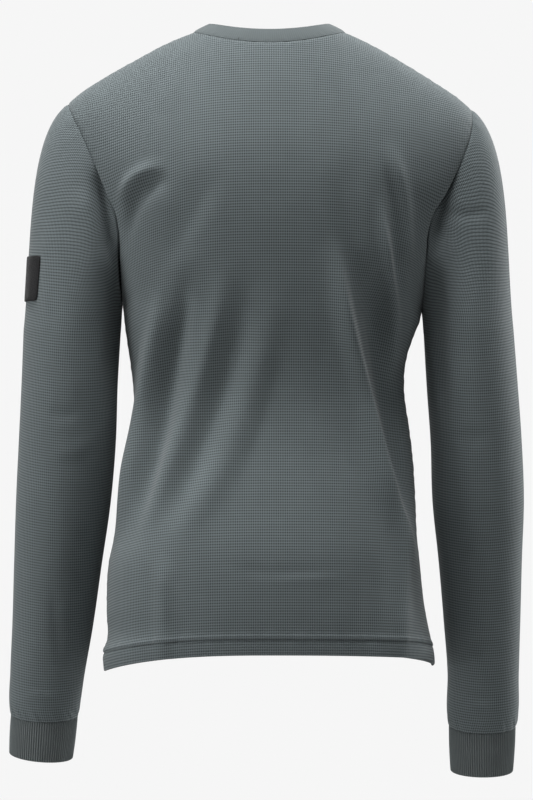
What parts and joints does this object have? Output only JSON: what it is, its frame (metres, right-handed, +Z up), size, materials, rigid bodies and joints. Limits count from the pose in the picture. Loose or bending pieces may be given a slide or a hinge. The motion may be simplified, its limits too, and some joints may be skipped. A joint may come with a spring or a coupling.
{
  "type": "thermal top",
  "caption": "Long-sleeved waffle-knit thermal top in its worn form, with a crew neckband, ribbed cuffs, a stitched hem and a plain square sleeve patch.",
  "frame": {"origin": "middle of the neck opening, level with the two points where the shoulder seams meet the neckband", "axes": "+Z up, the front faces -Y, the wearer's left is +X"},
  "size_m": [0.555, 0.2374, 0.8082],
  "materials": {
    "waffle_knit": "matte slate grey-green cotton waffle knit with a soft nap",
    "rib_knit": "matte slate grey-green rib knit",
    "patch_twill": "near-black tight twill with a faint sheen"
  },
  "bodies": {
    "root": {"back": "waffle_knit", "front": "waffle_knit", "sleeve_left": "waffle_knit", "sleeve_right": "waffle_knit", "cuff_left": "rib_knit", "cuff_right": "rib_knit", "neckband": "rib_knit", "badge": "patch_twill"}
  },
  "joints": []
}
